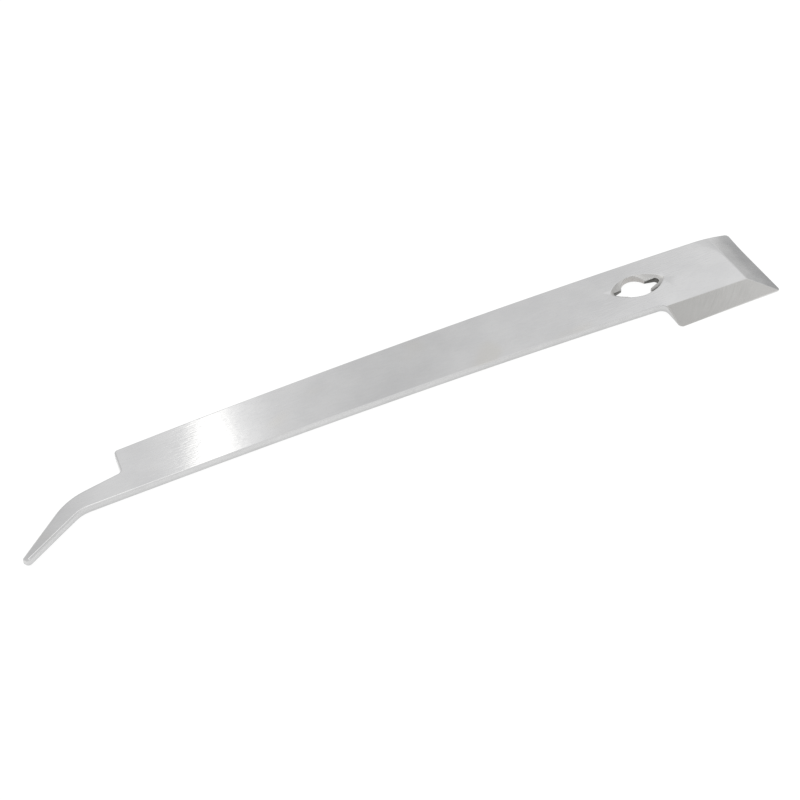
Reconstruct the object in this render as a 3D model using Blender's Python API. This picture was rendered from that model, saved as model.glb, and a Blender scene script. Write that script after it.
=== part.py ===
"""A one-piece hive tool: a bar of spring stainless with a chisel blade, a side scraper, a keyed
nail-puller hole and a hook. It lies flat on its underside, ground faces up.

The tool is drawn with X from the hook tip at -LENGTH to the chisel edge at 0, Y across the bar from
its near edge, and Z up from the underside. The outline is drawn on a straight bar and then swept
into its gentle sideways curve. The plate is ground and punched by cutters, and the finished tool is
centred on its own box.
"""

import math

import bmesh
import bpy
from mathutils import Matrix, Vector

MM = 0.001

# The bar
LENGTH = 265.0 * MM
BAR_WIDTH = 24.3 * MM  # at the chisel edge
EDGE_TAPER = 0.01464  # how far each long edge runs in, per unit of length
THICKNESS = 2.8 * MM
EDGE_EASE = 0.35 * MM
SWEEP_RADIUS = 2955.0 * MM  # the bar curves sideways, hollow on its near side

# The blade and its two ground edges
CHISEL_CORNER = 1.4 * MM
CHISEL_GRIND = 8.85 * MM
EDGE_LAND = 0.25 * MM  # steel left at a ground edge
SCRAPER_LENGTH = 40.4 * MM
SCRAPER_REACH = 9.0 * MM  # how far the scraper stands out at its step
SCRAPER_FLARE = 0.041  # its edge runs out by this much, per unit of length from the chisel
SCRAPER_GRIND = 8.15 * MM
SCRAPER_GRIND_SKEW = 0.015
STEP_FILLET = 2.3 * MM
STEP_CORNER = 1.6 * MM

# The nail-puller hole and the dish that thins its lips
HOLE_SETBACK = 44.1 * MM  # from the chisel edge to the hole's centre
HOLE_OFFSET = 0.45 * MM  # from the bar's middle towards its far edge
HOLE_TURN = math.radians(1.1)
HOLE_RADIUS = 5.05 * MM
NOTCH_REACH = 8.8 * MM  # from the hole's centre to a notch's tip
NOTCH_TIP_RADIUS = 1.25 * MM
NOTCH_MOUTH = 3.9 * MM  # a notch's width where it meets the round hole
DISH_LENGTH = 21.3 * MM
DISH_WIDTH = 10.2 * MM
DISH_DEPTH = 2.1 * MM  # below the top face, if the hole were not there
DISH_SHIFT = 0.3 * MM  # from the hole's centre towards the chisel
DISH_TURN = math.radians(-1.2)

# The shoulder and the hook
HOOK_REACH = 36.95 * MM  # from the shoulder to the tip
SHOULDER_LEAN = math.radians(5.5)
SHOULDER_CORNER = 1.3 * MM
SHOULDER_FILLET = 1.5 * MM
NECK_WIDTH = 8.55 * MM
NECK_SLOPE = math.radians(7.4)
OUTER_SLOPE = math.radians(38.8)
INNER_SLOPE = math.radians(28.8)
OUTER_BEND = 21.0 * MM
INNER_BEND = 9.5 * MM
TIP_DROP = 5.5 * MM  # how far below the bar's near corner the tip's outer corner lies
TIP_WIDTH = 2.4 * MM
TIP_OUTER_ROUND = 0.6 * MM
TIP_INNER_ROUND = 1.35 * MM
TIP_TRIM = 0.1 * MM  # what rounding takes off the tip's length

# How finely curves are faceted, and how far cutters overrun
ARC_STEP = math.radians(9.0)
HOLE_STEP = math.radians(7.5)
LONGEST_RUN = 10.0 * MM
OVERRUN = 4.0 * MM
DISH_SEGMENTS = 48
DISH_RINGS = 24
SMOOTH_ANGLE = math.radians(25.0)

STEEL_COLOUR = (0.62, 0.62, 0.63, 1.0)
STEEL_ROUGHNESS = 0.32


def clear_scene():
    for thing in list(bpy.data.objects):
        bpy.data.objects.remove(thing, do_unlink=True)


def steel():
    material = bpy.data.materials.new("steel")
    material.use_nodes = True
    shader = material.node_tree.nodes["Principled BSDF"]
    shader.inputs["Base Color"].default_value = STEEL_COLOUR
    shader.inputs["Metallic"].default_value = 1.0
    shader.inputs["Roughness"].default_value = STEEL_ROUGHNESS
    return material


def slope_line(point, angle):
    """A point and a direction rising towards +X at this angle."""
    return Vector(point), Vector((math.cos(angle), math.sin(angle)))


def crossing(first, second):
    (p, d), (q, e) = first, second
    reach = (q - p).cross(e) / d.cross(e)
    return p + reach * d


def round_corners(corners, step):
    """The closed outline through (point, radius) corners, each rounded by an arc."""
    outline = []
    for index, (corner, radius) in enumerate(corners):
        before = (corners[index - 1][0] - corner).normalized()
        after = (corners[(index + 1) % len(corners)][0] - corner).normalized()
        opening = before.angle(after)
        centre = corner + (before + after).normalized() * radius / math.sin(opening / 2)
        start = corner + before * radius / math.tan(opening / 2) - centre
        turn = math.copysign(math.pi - opening, after.cross(before))
        pieces = max(2, math.ceil(abs(turn) / step))
        for piece in range(pieces + 1):
            outline.append(centre + Matrix.Rotation(turn * piece / pieces, 2) @ start)
    return outline


def divide_runs(outline):
    """The same outline with a point at least every LONGEST_RUN."""
    divided = []
    for start, end in zip(outline, outline[1:] + outline[:1]):
        pieces = math.ceil((end - start).length / LONGEST_RUN)
        divided += [start.lerp(end, piece / pieces) for piece in range(pieces)]
    return divided


def sweep(point):
    """A point of the straight bar where the sideways curve puts it. Both ends stay in line."""
    half = LENGTH / 2
    return Vector((point.x, point.y + (half**2 - (point.x + half) ** 2) / (2 * SWEEP_RADIUS)))


def far_edge(x):
    return BAR_WIDTH + EDGE_TAPER * x


def near_edge(x):
    return -EDGE_TAPER * x


def scraper_edge(x):
    return -SCRAPER_REACH + SCRAPER_FLARE * (x + SCRAPER_LENGTH)


def plate_outline():
    """The tool seen from above, anticlockwise from the chisel's far corner."""
    far_line = (Vector((0.0, far_edge(0.0))), Vector((1.0, EDGE_TAPER)))
    near_line = (Vector((0.0, near_edge(0.0))), Vector((1.0, -EDGE_TAPER)))
    shoulder = -LENGTH + HOOK_REACH
    neck = Vector((shoulder, near_edge(shoulder) + NECK_WIDTH))
    shoulder_top = crossing(far_line, slope_line(neck, math.pi / 2 - SHOULDER_LEAN))
    tip_outer = Vector((-LENGTH - TIP_TRIM, -TIP_DROP))
    end_face = (OUTER_SLOPE + INNER_SLOPE) / 2 - math.pi / 2
    tip_inner = tip_outer + TIP_WIDTH * Vector((math.cos(end_face), math.sin(end_face)))
    outer_bend = crossing(slope_line(neck, NECK_SLOPE), slope_line(tip_outer, OUTER_SLOPE))
    inner_bend = crossing(slope_line(tip_inner, INNER_SLOPE), near_line)
    step_inner = Vector((-SCRAPER_LENGTH, near_edge(-SCRAPER_LENGTH)))
    step_outer = Vector((-SCRAPER_LENGTH, scraper_edge(-SCRAPER_LENGTH)))
    corners = [
        (Vector((0.0, far_edge(0.0))), CHISEL_CORNER),
        (shoulder_top, SHOULDER_CORNER),
        (neck, SHOULDER_FILLET),
        (outer_bend, OUTER_BEND),
        (tip_outer, TIP_OUTER_ROUND),
        (tip_inner, TIP_INNER_ROUND),
        (inner_bend, INNER_BEND),
        (step_inner, STEP_FILLET),
        (step_outer, STEP_CORNER),
        (Vector((0.0, scraper_edge(0.0))), CHISEL_CORNER),
    ]
    return [sweep(point) for point in divide_runs(round_corners(corners, ARC_STEP))]


def hole_centre():
    middle = (near_edge(-HOLE_SETBACK) + far_edge(-HOLE_SETBACK)) / 2
    return sweep(Vector((-HOLE_SETBACK, middle + HOLE_OFFSET)))


def hole_outline():
    """A round hole with a tapered, round-tipped notch on each side, anticlockwise."""
    tip = NOTCH_REACH - NOTCH_TIP_RADIUS
    mouth_angle = math.asin(NOTCH_MOUTH / 2 / HOLE_RADIUS)
    half = []
    tip_pieces = math.ceil(math.pi / HOLE_STEP / 2)
    for piece in range(tip_pieces + 1):
        angle = math.pi * (piece / tip_pieces - 0.5)
        half.append(Vector((tip + NOTCH_TIP_RADIUS * math.cos(angle), NOTCH_TIP_RADIUS * math.sin(angle))))
    arc = math.pi - 2 * mouth_angle
    arc_pieces = math.ceil(arc / HOLE_STEP)
    for piece in range(arc_pieces + 1):
        angle = mouth_angle + arc * piece / arc_pieces
        half.append(HOLE_RADIUS * Vector((math.cos(angle), math.sin(angle))))
    centre = hole_centre()
    turned = [Matrix.Rotation(HOLE_TURN, 2) @ point for point in half]
    return [centre + point for point in turned] + [centre - point for point in turned]


def mesh_object(name, shape):
    bmesh.ops.recalc_face_normals(shape, faces=shape.faces)
    mesh = bpy.data.meshes.new(name)
    shape.to_mesh(mesh)
    shape.free()
    thing = bpy.data.objects.new(name, mesh)
    bpy.context.scene.collection.objects.link(thing)
    return thing


def prism(outline, low, high):
    """The bmesh of an outline drawn up from one height to another."""
    shape = bmesh.new()
    base = shape.faces.new([shape.verts.new((x, y, low)) for x, y in outline])
    raised = bmesh.ops.extrude_face_region(shape, geom=[base])["geom"]
    lifted = [item for item in raised if isinstance(item, bmesh.types.BMVert)]
    bmesh.ops.translate(shape, vec=(0.0, 0.0, high - low), verts=lifted)
    return shape


def flat_plate():
    shape = prism(plate_outline(), 0.0, THICKNESS)
    rims = [edge for edge in shape.edges if abs(edge.verts[0].co.z - edge.verts[1].co.z) < EDGE_EASE]
    bmesh.ops.bevel(shape, geom=rims, offset=EDGE_EASE, segments=1, affect="EDGES")
    return mesh_object("flat_plate", shape)


def cutter(name, shape):
    thing = mesh_object(name, shape)
    thing.hide_render = True
    thing.display_type = "WIRE"
    return thing


def grind_cutter(name, start, end, run):
    """Takes off what lies above a plane that leaves the top face along start-end, and falls to the
    edge land over this run to the right of that line."""
    along = (end - start).normalized()
    right = Vector((along.y, -along.x))
    fall = (THICKNESS - EDGE_LAND) / run
    section = [
        (-OVERRUN, THICKNESS + OVERRUN * fall),
        (run + OVERRUN, EDGE_LAND - OVERRUN * fall),
        (run + OVERRUN, THICKNESS + 2 * OVERRUN),
        (-OVERRUN, THICKNESS + 2 * OVERRUN),
    ]
    shape = bmesh.new()
    base = shape.faces.new([shape.verts.new((*(start + right * out), z)) for out, z in section])
    drawn = bmesh.ops.extrude_face_region(shape, geom=[base])["geom"]
    moved = [item for item in drawn if isinstance(item, bmesh.types.BMVert)]
    bmesh.ops.translate(shape, vec=(*(end - start), 0.0), verts=moved)
    return cutter(name, shape)


def chisel_cutter():
    near = Vector((-CHISEL_GRIND, -SCRAPER_REACH - OVERRUN))
    far = Vector((-CHISEL_GRIND, BAR_WIDTH + OVERRUN))
    return grind_cutter("chisel_grind", near, far, CHISEL_GRIND)


def scraper_cutter():
    """It ends over the step, short of the hook that hangs out on the same side."""
    middle = -SCRAPER_LENGTH / 2
    inner = scraper_edge(middle) + SCRAPER_GRIND
    reach = SCRAPER_LENGTH / 2 + OVERRUN
    start = sweep(Vector((middle - reach, inner - SCRAPER_GRIND_SKEW * reach)))
    end = sweep(Vector((middle + reach, inner + SCRAPER_GRIND_SKEW * reach)))
    return grind_cutter("scraper_grind", start, end, SCRAPER_GRIND)


def dish_cutter():
    """A flattened lemon, whose outline in the top face is the lens between two equal arcs."""
    half_length = DISH_LENGTH / 2
    half_width = DISH_WIDTH / 2
    arc_radius = (half_length**2 + half_width**2) / (2 * half_width)
    shape = bmesh.new()
    bmesh.ops.create_uvsphere(shape, u_segments=DISH_SEGMENTS, v_segments=DISH_RINGS, radius=1.0)
    for vertex in shape.verts:
        around = vertex.co.xy.normalized()
        along = half_length * vertex.co.z
        reach = math.sqrt(arc_radius**2 - along**2) - (arc_radius - half_width)
        vertex.co = (along, around.x * reach, around.y * reach * DISH_DEPTH / half_width)
    centre = hole_centre() + Vector((DISH_SHIFT, 0.0))
    bmesh.ops.rotate(shape, matrix=Matrix.Rotation(DISH_TURN, 3, "Z"), verts=shape.verts)
    bmesh.ops.translate(shape, vec=(*centre, THICKNESS), verts=shape.verts)
    return cutter("dish_grind", shape)


def hole_cutter():
    return cutter("hole_punch", prism(hole_outline(), -OVERRUN, THICKNESS + OVERRUN))


def ground_plate():
    """The plate with every cutter's Boolean on it, as a bmesh of its own."""
    plate = flat_plate()
    plate.hide_render = True
    plate.display_type = "WIRE"
    for tool in (chisel_cutter(), scraper_cutter(), dish_cutter(), hole_cutter()):
        cut = plate.modifiers.new(tool.name, "BOOLEAN")
        cut.operation = "DIFFERENCE"
        cut.solver = "EXACT"
        cut.object = tool
    bpy.context.view_layer.update()
    graph = bpy.context.evaluated_depsgraph_get()
    shape = bmesh.new()
    shape.from_mesh(plate.evaluated_get(graph).to_mesh())
    return shape


def hive_tool(material):
    shape = ground_plate()
    lows = Vector([min(vertex.co[axis] for vertex in shape.verts) for axis in range(3)])
    highs = Vector([max(vertex.co[axis] for vertex in shape.verts) for axis in range(3)])
    middle = (lows + highs) / 2
    bmesh.ops.translate(shape, vec=(-middle.x, -middle.y, -lows.z), verts=shape.verts)
    tool = mesh_object("hive_tool", shape)
    tool.data.materials.append(material)
    tool.data.shade_smooth()
    tool.data.set_sharp_from_angle(angle=SMOOTH_ANGLE)
    return tool


def main():
    clear_scene()
    hive_tool(steel())


main()
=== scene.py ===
"""The looks of a one-piece stainless hive tool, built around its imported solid.

The tool is drawn in millimetres, with X from the hook tip at -LENGTH to the chisel edge at 0, Y across
the bar and Z up from the underside, and then set into the solid's own box.
"""

import math

import bpy
import numpy as np
from mathutils import Matrix, Vector
from mathutils.geometry import delaunay_2d_cdt


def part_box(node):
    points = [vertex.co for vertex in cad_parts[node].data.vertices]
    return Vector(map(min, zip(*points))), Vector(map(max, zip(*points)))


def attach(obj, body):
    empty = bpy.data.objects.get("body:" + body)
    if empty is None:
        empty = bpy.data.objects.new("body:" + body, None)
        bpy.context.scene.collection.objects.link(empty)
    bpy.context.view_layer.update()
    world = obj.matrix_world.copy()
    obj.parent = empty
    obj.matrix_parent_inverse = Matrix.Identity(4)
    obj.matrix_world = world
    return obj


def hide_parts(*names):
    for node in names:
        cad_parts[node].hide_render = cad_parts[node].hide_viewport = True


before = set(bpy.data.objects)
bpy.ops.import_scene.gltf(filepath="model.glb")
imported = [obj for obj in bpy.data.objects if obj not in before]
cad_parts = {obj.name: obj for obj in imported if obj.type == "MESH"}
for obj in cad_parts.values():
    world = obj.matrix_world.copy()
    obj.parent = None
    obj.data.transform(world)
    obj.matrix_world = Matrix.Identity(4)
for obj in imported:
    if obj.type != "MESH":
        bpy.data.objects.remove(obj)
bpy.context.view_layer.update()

MM = 0.001

# The bar
LENGTH = 265.0
BAR_WIDTH = 24.3
EDGE_TAPER = 0.01464
THICKNESS = 2.8
SWEEP_RADIUS = 2955.0

# The blade and its two ground edges
CHISEL_CORNER = 1.4
CHISEL_GRIND = 8.85
EDGE_LAND = 0.25
FAR_CORNER_LIFT = 0.3  # share of the chisel's grinding left undone at its far corner
FAR_CORNER_RUN = (12.5, 24.0)  # across the bar, where that sets in and where it is full
SCRAPER_LENGTH = 40.4
SCRAPER_REACH = 9.0
SCRAPER_FLARE = 0.041
SCRAPER_GRIND = 8.15
SCRAPER_GRIND_SKEW = 0.015
SCRAPER_OVERRUN = 4.0  # how far past the step the scraper's grinding line is carried
STEP_FILLET = 2.3
STEP_CORNER = 1.6

# The nail-puller hole and its dish
HOLE_SETBACK = 44.1
HOLE_OFFSET = 0.45
HOLE_TURN = math.radians(1.1)
HOLE_RADIUS = 5.05
NOTCH_REACH = 8.8
NOTCH_TIP_RADIUS = 1.25
NOTCH_MOUTH = 3.9
DISH_LENGTH = 21.3
DISH_WIDTH = 10.2
DISH_SHIFT = 0.3
DISH_TURN = math.radians(-1.2)
DISH_STEEPNESS = 0.65  # depth per width, in the middle of the dish
DISH_LIP_SOFTNESS = 2.2

# The shoulder and the hook
HOOK_REACH = 36.95
SHOULDER_LEAN = math.radians(5.5)
SHOULDER_CORNER = 1.3
SHOULDER_FILLET = 1.5
NECK_WIDTH = 8.55
NECK_SLOPE = math.radians(7.4)
OUTER_SLOPE = math.radians(38.8)
INNER_SLOPE = math.radians(28.8)
OUTER_BEND = 21.0
INNER_BEND = 9.5
TIP_DROP = 5.5
TIP_WIDTH = 2.4
TIP_OUTER_ROUND = 0.6
TIP_INNER_ROUND = 1.35
TIP_TRIM = 0.1

# How edges are rounded over
RIM_ROUND = 0.38
NOSE_ROUND = 0.8  # at the very tip of the hook, which is worn rounder
NOSE_RUN = 62.0  # how far back from the tip the extra rounding reaches
HOLE_ROUND = 0.2
MOST_ROUND = 0.45  # of the steel's own thickness, where it is ground thin
WORN_SHARE = 1 - math.sin(math.pi / 4)  # of a rim's rounding, where it still looks like the side
FOLD_BLEND = 0.13  # how far grinding lines are softened, as a height
FAR_CORNER_BLEND = 1.1  # how much more that is at the chisel's far corner
DISH_BLEND = 0.12

# How finely everything is drawn
ARC_STEP = math.radians(3.0)
HOLE_STEP = math.radians(4.0)
LONGEST_RUN = 2.5
RIM_STEPS = 6
HOLE_RIM_STEPS = 3
RIM_GUARD = 1.15  # of a rim's rounding: a last ring, just inside it
INSET_SHARE = 0.98  # of its setback, nearer than which a point of an inset loop has folded over
GRID = 4.0
GRID_CLEARANCE = 1.2
FOLD_LINES = (-0.45, -0.3, -0.15, 0.0, 0.15, 0.3, 0.45)
CHISEL_LINES = (-3.6, -2.6, -1.7, -1.0, *FOLD_LINES, 1.0, 1.7, 2.6, 3.6)
MITRE_LINES = tuple(0.7 * setback for setback in FOLD_LINES)
MITRE_OVERRUN = 1.2  # of the way from where the two grinding lines meet to the scraper's corner
DISH_RINGS = (-0.3, -0.15, 0.0, 0.06, 0.13, 0.25, 0.45, 0.8, 1.4)
MERGE = 1e-4
SHARP_ANGLE = math.radians(40.0)

# The finishes, in the order of their materials
FACE, CHISEL, SCRAPER, DISH, SIDE, HOLE_WALL, NOTCH_WALL, UNDERSIDE = range(8)

# The darkest and the lightest of each finish
FACE_COLOURS = (0.592, 0.592, 0.597, 1.0), (0.654, 0.654, 0.656, 1.0)
# The chisel's and the scraper's ranges also span the painted shade and painted highlight along each
# bevel.
CHISEL_COLOURS = (0.520, 0.521, 0.526, 1.0), (0.705, 0.705, 0.705, 1.0)
SCRAPER_COLOURS = (0.560, 0.555, 0.543, 1.0), (0.665, 0.658, 0.646, 1.0)
DISH_COLOURS = (0.555, 0.550, 0.540, 1.0), (0.640, 0.635, 0.625, 1.0)
SIDE_COLOURS = (0.590, 0.590, 0.590, 1.0), (0.650, 0.650, 0.650, 1.0)
# Painted shade: the hole's walls darker than the outer sides, and the notches' walls nearly black.
HOLE_WALL_SHADE_COLOURS = (0.400, 0.385, 0.370, 1.0), (0.500, 0.485, 0.470, 1.0)
NOTCH_WALL_SHADE_COLOURS = (0.080, 0.078, 0.074, 1.0), (0.160, 0.157, 0.150, 1.0)
TABLE_COLOURS = (0.23, 0.23, 0.23, 1.0), (0.27, 0.27, 0.27, 1.0)
SMUDGE = (0.610, 0.597, 0.570, 1.0)
BLACK = (0.0, 0.0, 0.0, 1.0)
WHITE = (1.0, 1.0, 1.0, 1.0)
WARM_WHITE = (1.0, 0.995, 0.975, 1.0)

# The table
TABLE_REACH = 12.0
TABLE_DROP = 0.0002
TABLE_GLOW = 0.84

# The tall bright panel behind the tool. Azimuths run from +Y towards +X, and everything is in degrees.
PANEL_MIDDLE = 46.6  # elevation at which its two edges are where they are said to be
PANEL_LEFT = 16.3
PANEL_LEFT_LEAN = 0.19  # towards -X, for each degree up
PANEL_RIGHT = 18.4
PANEL_RIGHT_LEAN = 0.39  # towards +X, for each degree up
HORIZON_GLOOM = (14.0, 36.0)  # elevations between which the room reaches its full brightness

# The camera, from the tool's own centre
CAMERA_PLACE = (-0.17009, -0.33043, 0.37546)
CAMERA_AIM = (-0.00384, -0.00070, -0.00425)
CAMERA_ROLL = math.radians(-0.05)
CAMERA_LENS = 74.47
CAMERA_SENSOR = 36.0


def slope_line(point, angle):
    """A point and a direction rising towards +X at this angle."""
    return Vector(point), Vector((math.cos(angle), math.sin(angle)))


def crossing(first, second):
    (p, d), (q, e) = first, second
    return p + (q - p).cross(e) / d.cross(e) * d


def round_corners(corners, step):
    """The closed outline through (point, radius) corners, each rounded by an arc."""
    outline = []
    for index, (corner, radius) in enumerate(corners):
        before = (corners[index - 1][0] - corner).normalized()
        after = (corners[(index + 1) % len(corners)][0] - corner).normalized()
        opening = before.angle(after)
        centre = corner + (before + after).normalized() * radius / math.sin(opening / 2)
        start = corner + before * radius / math.tan(opening / 2) - centre
        turn = math.copysign(math.pi - opening, after.cross(before))
        pieces = max(2, math.ceil(abs(turn) / step))
        for piece in range(pieces + 1):
            outline.append(centre + Matrix.Rotation(turn * piece / pieces, 2) @ start)
    return outline


def divide_runs(outline):
    """The same outline with a point at least every LONGEST_RUN."""
    divided = []
    for start, end in zip(outline, outline[1:] + outline[:1]):
        pieces = math.ceil((end - start).length / LONGEST_RUN)
        divided += [start.lerp(end, piece / pieces) for piece in range(pieces)]
    return divided


def sweep(point):
    """A point of the straight bar where the sideways curve puts it. Both ends stay in line."""
    half = LENGTH / 2
    return Vector((point.x, point.y + (half**2 - (point.x + half) ** 2) / (2 * SWEEP_RADIUS)))


def far_edge(x):
    return BAR_WIDTH + EDGE_TAPER * x


def near_edge(x):
    return -EDGE_TAPER * x


def scraper_edge(x):
    return -SCRAPER_REACH + SCRAPER_FLARE * (x + SCRAPER_LENGTH)


def plate_outline():
    """The tool seen from above, anticlockwise from the chisel's far corner."""
    far_line = (Vector((0.0, far_edge(0.0))), Vector((1.0, EDGE_TAPER)))
    near_line = (Vector((0.0, near_edge(0.0))), Vector((1.0, -EDGE_TAPER)))
    shoulder = -LENGTH + HOOK_REACH
    neck = Vector((shoulder, near_edge(shoulder) + NECK_WIDTH))
    shoulder_top = crossing(far_line, slope_line(neck, math.pi / 2 - SHOULDER_LEAN))
    tip_outer = Vector((-LENGTH - TIP_TRIM, -TIP_DROP))
    end_face = (OUTER_SLOPE + INNER_SLOPE) / 2 - math.pi / 2
    tip_inner = tip_outer + TIP_WIDTH * Vector((math.cos(end_face), math.sin(end_face)))
    outer_bend = crossing(slope_line(neck, NECK_SLOPE), slope_line(tip_outer, OUTER_SLOPE))
    inner_bend = crossing(slope_line(tip_inner, INNER_SLOPE), near_line)
    step_inner = Vector((-SCRAPER_LENGTH, near_edge(-SCRAPER_LENGTH)))
    step_outer = Vector((-SCRAPER_LENGTH, scraper_edge(-SCRAPER_LENGTH)))
    corners = [
        (Vector((0.0, far_edge(0.0))), CHISEL_CORNER),
        (shoulder_top, SHOULDER_CORNER),
        (neck, SHOULDER_FILLET),
        (outer_bend, OUTER_BEND),
        (tip_outer, TIP_OUTER_ROUND),
        (tip_inner, TIP_INNER_ROUND),
        (inner_bend, INNER_BEND),
        (step_inner, STEP_FILLET),
        (step_outer, STEP_CORNER),
        (Vector((0.0, scraper_edge(0.0))), CHISEL_CORNER),
    ]
    return [sweep(point) for point in divide_runs(round_corners(corners, ARC_STEP))]


def hole_centre():
    middle = (near_edge(-HOLE_SETBACK) + far_edge(-HOLE_SETBACK)) / 2
    return sweep(Vector((-HOLE_SETBACK, middle + HOLE_OFFSET)))


def hole_outline():
    """A round hole with a tapered, round-tipped notch on each side, anticlockwise."""
    tip = NOTCH_REACH - NOTCH_TIP_RADIUS
    mouth_angle = math.asin(NOTCH_MOUTH / 2 / HOLE_RADIUS)
    half = []
    tip_pieces = math.ceil(math.pi / HOLE_STEP / 2)
    for piece in range(tip_pieces + 1):
        angle = math.pi * (piece / tip_pieces - 0.5)
        along = tip + NOTCH_TIP_RADIUS * math.cos(angle)
        half.append(Vector((along, NOTCH_TIP_RADIUS * math.sin(angle))))
    arc = math.pi - 2 * mouth_angle
    arc_pieces = math.ceil(arc / HOLE_STEP)
    for piece in range(arc_pieces + 1):
        angle = mouth_angle + arc * piece / arc_pieces
        half.append(HOLE_RADIUS * Vector((math.cos(angle), math.sin(angle))))
    centre = hole_centre()
    turned = [Matrix.Rotation(HOLE_TURN, 2) @ point for point in half]
    return [centre + point for point in turned] + [centre - point for point in turned]


def dish_radius():
    """The radius of the two arcs that bound the dish in the top face."""
    return ((DISH_LENGTH / 2) ** 2 + (DISH_WIDTH / 2) ** 2) / DISH_WIDTH


def dish_centre():
    return hole_centre() + Vector((DISH_SHIFT, 0.0))


def dish_outline():
    """The lens between two equal arcs, anticlockwise from its end nearest the chisel."""
    radius, half_length = dish_radius(), DISH_LENGTH / 2
    reach = math.asin(half_length / radius)
    pieces = math.ceil(2 * reach / ARC_STEP)
    drop = radius - DISH_WIDTH / 2
    upper = []
    for piece in range(pieces):
        angle = reach * (1 - 2 * piece / pieces)
        upper.append(Vector((radius * math.sin(angle), radius * math.cos(angle) - drop)))
    turned = [Matrix.Rotation(DISH_TURN, 2) @ point for point in upper]
    centre = dish_centre()
    return [centre + point for point in turned] + [centre - point for point in turned]


def scraper_fold():
    """Two points on the line where the scraper's grinding leaves the top face."""
    middle = -SCRAPER_LENGTH / 2
    inner = scraper_edge(middle) + SCRAPER_GRIND
    reach = SCRAPER_LENGTH / 2 + SCRAPER_OVERRUN
    start = sweep(Vector((middle - reach, inner - SCRAPER_GRIND_SKEW * reach)))
    end = sweep(Vector((middle + reach, inner + SCRAPER_GRIND_SKEW * reach)))
    return start, end


def distance_to(points, loop):
    """How far each point is from the nearest side of a closed loop."""
    starts = loop[None, :, :]
    sides = np.roll(loop, -1, axis=0)[None, :, :] - starts
    offsets = points[:, None, :] - starts
    share = np.clip((offsets * sides).sum(2) / (sides**2).sum(2), 0.0, 1.0)
    return np.linalg.norm(offsets - share[..., None] * sides, axis=2).min(axis=1)


def is_inside(points, loop):
    x, y = points[:, :1], points[:, 1:]
    start, end = loop[None, :, :], np.roll(loop, -1, axis=0)[None, :, :]
    spans = (start[..., 1] > y) != (end[..., 1] > y)
    rise = np.where(spans, end[..., 1] - start[..., 1], 1.0)
    cut = start[..., 0] + (y - start[..., 1]) * (end[..., 0] - start[..., 0]) / rise
    return (spans & (x < cut)).sum(axis=1) % 2 == 1


def inset(loop, setback):
    """The loop set this far to its left, without the points that a tight corner folds over."""
    sides = np.roll(loop, -1, axis=0) - loop
    sides /= np.linalg.norm(sides, axis=1)[:, None]
    lefts = np.stack([-sides[:, 1], sides[:, 0]], axis=1)
    corner = lefts + np.roll(lefts, 1, axis=0)
    corner /= (corner * lefts).sum(axis=1)[:, None]
    moved = loop + corner * np.reshape(setback, (-1, 1))
    return moved[distance_to(moved, loop) > INSET_SHARE * np.abs(setback) - MERGE]


def rim_radius(x):
    """How far the rims are rounded over at this place along the tool."""
    share = np.clip((-LENGTH + NOSE_RUN - x) / NOSE_RUN, 0.0, 1.0)
    return RIM_ROUND + (NOSE_ROUND - RIM_ROUND) * share * share


def ring_shares(steps):
    """Setbacks of a rounded rim's rings, as shares of its radius, evenly turned."""
    return [1 - math.sin(math.pi / 2 * step / steps) for step in range(steps + 1)]


class Drawing:
    """Points, and the lines between them that the surface's faces have to follow."""

    def __init__(self):
        self.points = []
        self.lines = []

    def loop(self, points):
        first = len(self.points)
        self.points += [tuple(point) for point in points]
        count = len(points)
        self.lines += [(first + index, first + (index + 1) % count) for index in range(count)]

    def line(self, start, end):
        pieces = math.ceil((end - start).length / LONGEST_RUN)
        first = len(self.points)
        self.points += [tuple(start.lerp(end, piece / pieces)) for piece in range(pieces + 1)]
        self.lines += [(first + piece, first + piece + 1) for piece in range(pieces)]

    def fold(self, start, end, setbacks):
        """A line and its neighbours on both sides, where a surface turns over softly."""
        along = (end - start).normalized()
        aside = Vector((-along.y, along.x))
        for setback in setbacks:
            self.line(start + aside * setback, end + aside * setback)


def grid_points(loops):
    """An even net of points over the plate, away from every loop."""
    outline = loops[0]
    low, high = outline.min(axis=0), outline.max(axis=0)
    across = np.arange(low[0], high[0], GRID)
    up = np.arange(low[1], high[1], GRID)
    net = np.stack(np.meshgrid(across, up), axis=-1).reshape(-1, 2)
    net = net[is_inside(net, outline)]
    for loop in loops:
        net = net[distance_to(net, loop) > GRID_CLEARANCE]
    return net


def soft_min(first, second, blend):
    near = np.maximum(blend - np.abs(first - second), 0.0) / blend
    return np.minimum(first, second) - near * near * blend / 4


def near_far_corner(points):
    """0 over most of the bar's width, rising to 1 at the edge furthest from the scraper."""
    start, end = FAR_CORNER_RUN
    return np.clip((points[:, 1] - start) / (end - start), 0.0, 1.0) ** 2


def chisel_height(points):
    fall = (THICKNESS - EDGE_LAND) / CHISEL_GRIND
    ground = 1 - FAR_CORNER_LIFT * near_far_corner(points)
    return THICKNESS - fall * ground * (points[:, 0] + CHISEL_GRIND)


def scraper_height(points):
    """The scraper's bevel, and past the step, where it doesn't reach, a height above all others."""
    start, end = scraper_fold()
    along = (end - start).normalized()
    out = (points[:, 0] - start.x) * along.y - (points[:, 1] - start.y) * along.x
    fall = (THICKNESS - EDGE_LAND) / SCRAPER_GRIND
    return np.where(points[:, 0] > start.x, THICKNESS - fall * out, 2 * THICKNESS)


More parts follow.
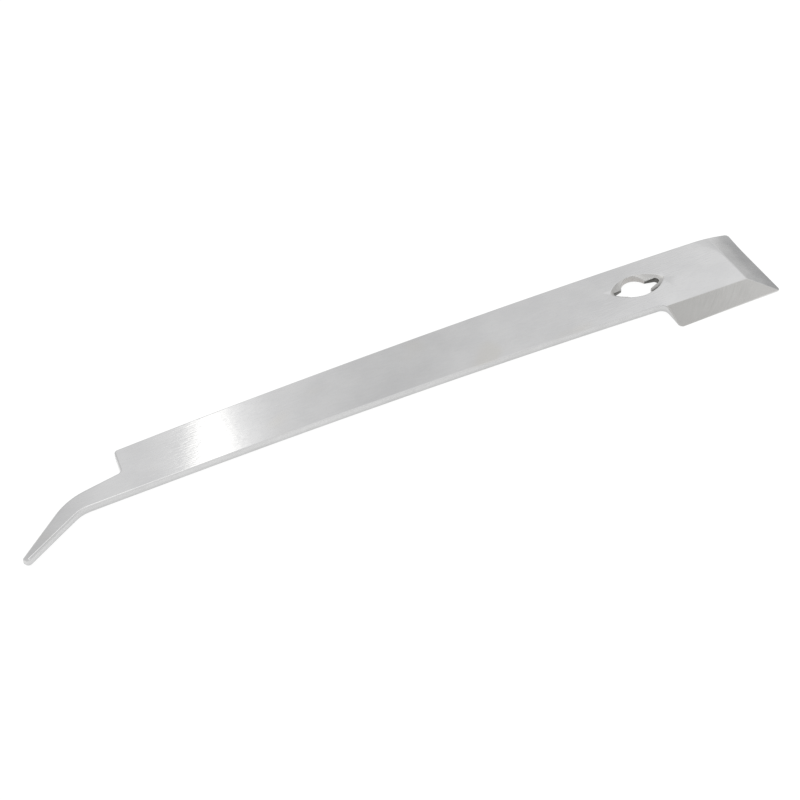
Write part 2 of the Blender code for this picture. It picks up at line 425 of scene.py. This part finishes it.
def dish_height(points):
    """A bowl whose rim in the top face is the dish's outline."""
    offset = points - np.array(dish_centre())
    cos, sin = math.cos(DISH_TURN), math.sin(DISH_TURN)
    along = offset[:, 0] * cos + offset[:, 1] * sin
    across = offset[:, 1] * cos - offset[:, 0] * sin
    radius = dish_radius()
    inside = np.maximum(radius**2 - along**2, 0.0)
    reach = np.sqrt(inside) - (radius - DISH_WIDTH / 2)
    bowl = np.sign(reach) * reach**2 - across**2 + DISH_LIP_SOFTNESS**2
    depth = DISH_STEEPNESS * (np.sqrt(np.maximum(bowl, 0.0)) - DISH_LIP_SOFTNESS)
    return THICKNESS - depth


def ground_height(points):
    """The top face with the two edges and the dish ground into it."""
    chisel_blend = FOLD_BLEND + FAR_CORNER_BLEND * near_far_corner(points)
    height = soft_min(np.full(len(points), THICKNESS), chisel_height(points), chisel_blend)
    height = soft_min(height, scraper_height(points), FOLD_BLEND)
    return soft_min(height, dish_height(points), DISH_BLEND)


def rounded_off(setback, radius):
    """What a rim of this radius takes off the height, this far in from its edge."""
    inside = np.clip(radius - setback, 0.0, radius)
    return radius - np.sqrt(radius**2 - inside**2)


def face_heights(points, outline, hole):
    """(top, bottom) heights at these points of the plan."""
    ground = ground_height(points)
    rim = np.minimum(rim_radius(points[:, 0]), MOST_ROUND * ground)
    lip = np.minimum(HOLE_ROUND, MOST_ROUND * ground)
    eased = rounded_off(distance_to(points, outline), rim)
    eased = eased + rounded_off(distance_to(points, hole), lip)
    return ground - eased, eased


def plan_faces(outline, hole):
    """The plan's points and its triangles, anticlockwise."""
    drawing = Drawing()
    for share in ring_shares(RIM_STEPS) + [RIM_GUARD]:
        drawing.loop(inset(outline, share * rim_radius(outline[:, 0])))
    for share in ring_shares(HOLE_RIM_STEPS) + [RIM_GUARD]:
        drawing.loop(inset(hole, np.full(len(hole), -share * HOLE_ROUND)))
    lens = np.array([tuple(point) for point in dish_outline()])
    for setback in DISH_RINGS:
        drawing.loop(inset(lens, np.full(len(lens), setback)))
    chisel_near = Vector((-CHISEL_GRIND, -SCRAPER_REACH))
    chisel_far = Vector((-CHISEL_GRIND, BAR_WIDTH + 1.0))
    drawing.fold(chisel_near, chisel_far, CHISEL_LINES)
    fold = scraper_fold()
    drawing.fold(*fold, FOLD_LINES)
    meeting = crossing((chisel_near, chisel_far - chisel_near), (fold[0], fold[1] - fold[0]))
    mitre_end = Vector((0.0, fold[1].y - SCRAPER_GRIND))
    drawing.fold(meeting, meeting + MITRE_OVERRUN * (mitre_end - meeting), MITRE_LINES)
    drawing.points += [tuple(point) for point in grid_points([outline, hole, lens])]
    flat = [Vector(point) for point in drawing.points]
    points, _, faces, *_ = delaunay_2d_cdt(flat, drawing.lines, [], 0, MERGE)
    points = np.array([tuple(point) for point in points])
    faces = np.array(faces)
    middles = points[faces].mean(axis=1)
    kept = faces[is_inside(middles, outline) & ~is_inside(middles, hole)]
    used = np.unique(kept)
    place = np.zeros(len(points), int)
    place[used] = np.arange(len(used))
    return points[used], place[kept]


def rim_edges(faces):
    """The sides that only one face has, in that face's own direction."""
    sides = np.concatenate([faces[:, [0, 1]], faces[:, [1, 2]], faces[:, [2, 0]]])
    back = set(map(tuple, sides[:, ::-1]))
    return [side for side in map(tuple, sides) if side not in back]


def zones(points, faces, outline, hole):
    """Which finish each face of the top has."""
    middles = points[faces].mean(axis=1)
    heights = np.stack(
        [
            np.full(len(middles), THICKNESS),
            chisel_height(middles),
            scraper_height(middles),
            dish_height(middles),
        ]
    )
    zone = np.array([FACE, CHISEL, SCRAPER, DISH])[heights.argmin(axis=0)]
    rim = rim_radius(middles[:, 0])
    worn = distance_to(middles, outline) < rim * WORN_SHARE
    return np.where(worn & (zone == FACE), SIDE, zone)


def hive_tool_mesh(box, finishes):
    """The whole tool as one closed surface, set into this box."""
    outline = np.array([tuple(point) for point in plate_outline()])
    hole = np.array([tuple(point) for point in hole_outline()])
    plan, triangles = plan_faces(outline, hole)
    top, bottom = face_heights(plan, outline, hole)
    count = len(plan)
    places = np.concatenate([np.column_stack([plan, top]), np.column_stack([plan, bottom])])
    walls = rim_edges(triangles)
    faces = [tuple(face) for face in triangles]
    finish = list(zones(plan, triangles, outline, hole))
    faces += [tuple(face[::-1] + count) for face in triangles]
    finish += [UNDERSIDE] * len(triangles)
    faces += [(a + count, b + count, b, a) for a, b in walls]
    middles = np.array([(plan[a] + plan[b]) / 2 for a, b in walls])
    in_hole = distance_to(middles, hole) < distance_to(middles, outline)
    from_centre = np.linalg.norm(middles - np.array(hole_centre()), axis=1)
    in_notch = in_hole & (from_centre > HOLE_RADIUS + MERGE)
    finish += list(np.where(in_notch, NOTCH_WALL, np.where(in_hole, HOLE_WALL, SIDE)))

    low, high = np.array(box[0]), np.array(box[1])
    lowest, highest = places.min(axis=0), places.max(axis=0)
    places = low + (places - lowest) / (highest - lowest) * (high - low)
    mesh = bpy.data.meshes.new("hive_tool_steel")
    mesh.from_pydata(places.tolist(), [], [[int(corner) for corner in face] for face in faces])
    for material in finishes:
        mesh.materials.append(material)
    mesh.polygons.foreach_set("material_index", np.array(finish, np.int32))
    mesh.shade_smooth()
    mesh.set_sharp_from_angle(angle=SHARP_ANGLE)
    mesh.update()
    return mesh


class Value:
    """A socket that takes part in sums: each operator adds the Math node that works it out."""

    def __init__(self, graph, socket):
        self.graph = graph
        self.socket = socket

    def __add__(self, other):
        return self.graph.math("ADD", self, other)

    def __sub__(self, other):
        return self.graph.math("SUBTRACT", self, other)

    def __mul__(self, other):
        return self.graph.math("MULTIPLY", self, other)

    def __radd__(self, other):
        return self.graph.math("ADD", other, self)

    def __rsub__(self, other):
        return self.graph.math("SUBTRACT", other, self)

    def __rmul__(self, other):
        return self.graph.math("MULTIPLY", other, self)


class Graph:
    """The nodes of one material or of the room's light."""

    def __init__(self, owner):
        owner.use_nodes = True
        self.tree = owner.node_tree
        self.tree.nodes.clear()

    def node(self, kind, settings, sockets, output=0):
        """A node of this type, its settings set first and then its sockets filled or linked."""
        made = self.tree.nodes.new(kind)
        for name, value in settings.items():
            setattr(made, name, value)
        for name, value in sockets.items():
            if isinstance(value, Value):
                self.tree.links.new(value.socket, made.inputs[name])
            else:
                made.inputs[name].default_value = value
        return Value(self, made.outputs[output]) if len(made.outputs) else None

    def math(self, operation, *operands):
        return self.node("ShaderNodeMath", {"operation": operation}, dict(enumerate(operands)))

    def ease(self, value, low, high):
        """0 at low, 1 at high, and smooth between them. Low may be the greater of the two."""
        settings = {"interpolation_type": "SMOOTHSTEP"}
        sockets = {"Value": value, "From Min": low, "From Max": high}
        return self.node("ShaderNodeMapRange", settings, sockets)

    def place(self):
        """Where a point of the tool is, in millimetres."""
        found = self.node("ShaderNodeTexCoord", {}, {}, "Object")
        return self.node("ShaderNodeVectorMath", {"operation": "SCALE"}, {0: found, "Scale": 1 / MM})

    def parts(self, vector):
        made = self.node("ShaderNodeSeparateXYZ", {}, {"Vector": vector})
        return [Value(self, socket) for socket in made.socket.node.outputs]

    def vector(self, x, y, z):
        return self.node("ShaderNodeCombineXYZ", {}, {"X": x, "Y": y, "Z": z})

    def noise(self, place, per_mm, detail):
        """A smooth random value round 0.5, with this many lumps a millimetre along each axis."""
        sockets = {0: place, 1: per_mm}
        stretched = self.node("ShaderNodeVectorMath", {"operation": "MULTIPLY"}, sockets)
        sockets = {"Vector": stretched, "Scale": 1.0, "Detail": detail}
        return self.node("ShaderNodeTexNoise", {}, sockets)

    def blend(self, share, first, second):
        """From one colour to another."""
        settings = {"data_type": "RGBA"}
        return self.node("ShaderNodeMix", settings, {0: share, 6: first, 7: second}, 2)

    def steel(self, colour, roughness, height):
        """Bare metal of this colour and roughness, whose relief is a height in millimetres."""
        relief = self.node("ShaderNodeBump", {}, {"Strength": 1.0, "Distance": MM, "Height": height})
        sockets = {"Base Color": colour, "Metallic": 1.0, "Roughness": roughness, "Normal": relief}
        metal = self.node("ShaderNodeBsdfPrincipled", {}, sockets)
        self.node("ShaderNodeOutputMaterial", {}, {"Surface": metal})


def brushed_face(name):
    """Short, fine belt marks along the bar, faint cloudy patches and a few warm finger smudges."""
    material = bpy.data.materials.new(name)
    graph = Graph(material)
    place = graph.place()
    hairs = graph.noise(place, (0.3, 4.5, 4.5), 2.0)
    strokes = graph.noise(place, (0.36, 2.3, 2.3), 2.0)
    clouds = graph.noise(place, (0.09, 0.10, 0.10), 2.0)
    smudges = graph.ease(graph.noise(place, (0.055, 0.08, 0.08), 1.0), 0.6, 0.78)
    shade = graph.ease(0.25 * strokes + 0.15 * hairs + 0.6 * clouds, 0.25, 0.75)
    clean = graph.blend(shade, *FACE_COLOURS)
    colour = graph.blend(smudges * 0.6, clean, SMUDGE)
    roughness = 0.035 + 0.02 * strokes + 0.02 * hairs + 0.04 * smudges
    height = 0.007 * strokes + 0.001 * hairs
    graph.steel(colour, roughness, height)
    return material


def ground_bevel(name, colours, along_edge, curve, contrast, painted_light_ramp):
    """Marks of a fine wheel, drawn across the bevel from its fold to its edge in a slight curve.
    along_edge is the axis that the edge follows, curve how much the marks bend, contrast how far
    they stand out, and the last argument where along the tool, in millimetres, the bevel's painted
    shade is darkest and its painted highlight brightest."""
    material = bpy.data.materials.new(name)
    graph = Graph(material)
    x, y, _ = graph.parts(graph.place())
    run, fall = (x, y) if along_edge == "X" else (y, x)
    bent = run + curve * fall * fall
    marks = graph.noise(graph.vector(bent, fall, 0.0), (1.4, 0.2, 1.0), 2.0)
    waves = graph.noise(graph.vector(bent, fall, 0.0), (0.3, 0.08, 1.0), 1.0)
    clouds = graph.noise(graph.place(), (0.12, 0.12, 0.12), 2.0)
    # Painted shade and painted highlight: darker towards one end of the bevel, lighter towards the
    # other.
    lift = 0.4 * graph.ease(x, *painted_light_ramp) - 0.2
    mixed = contrast * marks + 0.15 * waves + (0.85 - contrast) * clouds + lift
    colour = graph.blend(graph.ease(mixed, 0.2, 0.8), *colours)
    graph.steel(colour, 0.16 + 0.08 * marks, 0.0025 * marks + 0.002 * waves)
    return material


def tumbled_steel(name, colours, roughness, painted_shade):
    """Steel that a punch, a press or a wheel cut and tumbling softened, with small even mottling.
    The last argument holds (axis, start, end, share) for painted shade: between which places, in
    millimetres, it gets darker along that axis, and by how much."""
    material = bpy.data.materials.new(name)
    graph = Graph(material)
    place = graph.place()
    grit = graph.noise(place, (2.2, 2.2, 2.2), 3.0)
    drag = graph.noise(place, (1.8, 1.8, 0.25), 2.0)
    clouds = graph.noise(place, (0.15, 0.15, 0.3), 2.0)
    shade = graph.ease(0.25 * grit + 0.25 * drag + 0.5 * clouds, 0.3, 0.7)
    colour = graph.blend(shade, *colours)
    # Painted shade: the colour darkens along one axis between two places.
    for axis, start, end, share in painted_shade:
        darker = share * graph.ease(graph.parts(place)[axis], start, end)
        colour = graph.blend(darker, colour, BLACK)
    graph.steel(colour, roughness + 0.1 * grit, 0.0025 * grit + 0.002 * drag)
    return material


def finishes():
    """One material for each zone of the tool, in the zones' order."""
    # Painted shade on the sides: darker towards the chisel end and darker towards the underside.
    side_painted_shade = [(0, -35.0, 15.0, 0.05), (2, 1.6, 0.5, 0.10)]
    return [
        brushed_face("brushed_face"),
        # Painted highlight and shade on the bevels: the chisel lighter near its fold and darker at its
        # edge, the scraper lighter towards the blade.
        ground_bevel("chisel_grind", CHISEL_COLOURS, "Y", 0.0, 0.2, (132.0, 124.0)),
        ground_bevel("scraper_grind", SCRAPER_COLOURS, "X", 0.05, 0.4, (95.0, 130.0)),
        # Painted shade in the dish: darker over its near half, lighter towards its far rim.
        tumbled_steel("dish_grind", DISH_COLOURS, 0.22, [(1, 5.6, 3.6, 0.1)]),
        tumbled_steel("tumbled_side", SIDE_COLOURS, 0.20, side_painted_shade),
        # Painted shade inside the hole: its walls darker than the outer sides, the notches' walls
        # nearly black.
        tumbled_steel("punched_wall_painted_shade", HOLE_WALL_SHADE_COLOURS, 0.30, []),
        tumbled_steel("notch_wall_painted_shade", NOTCH_WALL_SHADE_COLOURS, 0.35, []),
        brushed_face("brushed_underside"),
    ]


def hive_tool():
    mesh = hive_tool_mesh(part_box("hive_tool"), finishes())
    tool = bpy.data.objects.new("hive_tool_steel", mesh)
    bpy.context.scene.collection.objects.link(tool)
    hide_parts("hive_tool")
    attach(tool, "root")


def floor():
    """A pale, evenly lit table top."""
    material = bpy.data.materials.new("pale_table")
    graph = Graph(material)
    place = graph.node("ShaderNodeTexCoord", {}, {}, "Object")
    grain = graph.noise(place, (9.0, 9.0, 9.0), 3.0)
    colour = graph.blend(grain, *TABLE_COLOURS)
    sockets = {
        "Base Color": colour,
        "Roughness": 0.9,
        "Specular IOR Level": 0.1,
        "Emission Color": WHITE,
        "Emission Strength": TABLE_GLOW,
    }
    surface = graph.node("ShaderNodeBsdfPrincipled", {}, sockets)
    graph.node("ShaderNodeOutputMaterial", {}, {"Surface": surface})
    turns = [(-1, -1), (1, -1), (1, 1), (-1, 1)]
    corners = [(TABLE_REACH * x, TABLE_REACH * y, 0.0) for x, y in turns]
    mesh = bpy.data.meshes.new("table_top")
    mesh.from_pydata(corners, [], [(0, 1, 2, 3)])
    mesh.materials.append(material)
    table = bpy.data.objects.new("table_top", mesh)
    table.location.z = -TABLE_DROP
    bpy.context.scene.collection.objects.link(table)


def studio_light():
    """A pale room that grows darker towards its horizon and to one side, with one tall bright panel
    behind the tool. The panel's left edge is crisp, and its right edge fades out in a tail."""
    world = bpy.data.worlds.new("studio")
    bpy.context.scene.world = world
    graph = Graph(world)
    x, y, z = graph.parts(graph.node("ShaderNodeTexCoord", {}, {}, "Generated"))
    azimuth = graph.math("ARCTAN2", x, y) * math.degrees(1.0)
    elevation = graph.math("ARCSINE", z) * math.degrees(1.0)
    lift = elevation - PANEL_MIDDLE
    left = azimuth - PANEL_LEFT + PANEL_LEFT_LEAN * lift
    right = azimuth - PANEL_RIGHT - PANEL_RIGHT_LEAN * lift
    high = graph.ease(elevation, *HORIZON_GLOOM)
    behind = high * graph.ease(left, -0.25, 0.25)
    panel = behind * (1.0 - graph.ease(right, -0.4, 0.3))
    tail = behind * (1.0 - graph.ease(right, 0.0, 2.7))
    wall = 0.985 + 0.06 * graph.ease(left, -2.7, -0.2) - 0.24 * graph.ease(left, -0.2, 11.0)
    corner = 0.10 * graph.ease(azimuth, 26.5, 32.0)
    corner = corner - 0.20 * high * graph.ease(azimuth, 12.5, 7.5)
    window = 0.14 * graph.ease(azimuth + 1.1 * (elevation - 41.0), 37.0, 39.8)
    front = graph.ease(azimuth, 96.0, 135.0) + 1.0 - graph.ease(azimuth, -20.0, 8.0)
    aside = graph.ease(azimuth, 44.0, 70.0) * (1.0 - graph.ease(azimuth, 96.0, 135.0))
    low = 1.0 - high
    lights = wall + corner + window + 0.62 * panel + 0.22 * tail + 0.05 * front
    room = lights - 0.27 * aside - 0.20 * low
    colour = graph.blend(panel, WHITE, WARM_WHITE)
    sky = graph.node("ShaderNodeBackground", {}, {"Color": colour, "Strength": room})
    graph.node("ShaderNodeOutputWorld", {}, {"Surface": sky})
    bpy.context.scene.view_settings.view_transform = "Standard"
    bpy.context.scene.view_settings.look = "None"


def camera():
    """The camera of the main view."""
    data = bpy.data.cameras.new("studio_camera")
    data.lens = CAMERA_LENS
    data.sensor_width = CAMERA_SENSOR
    data.dof.use_dof = False
    place, aim = Vector(CAMERA_PLACE), Vector(CAMERA_AIM)
    eye = bpy.data.objects.new("studio_camera", data)
    eye.location = place
    turn = (aim - place).to_track_quat("-Z", "Y").to_matrix() @ Matrix.Rotation(CAMERA_ROLL, 3, "Z")
    eye.rotation_euler = turn.to_euler()
    bpy.context.scene.collection.objects.link(eye)
    bpy.context.scene.camera = eye


camera()
hive_tool()
floor()
studio_light()
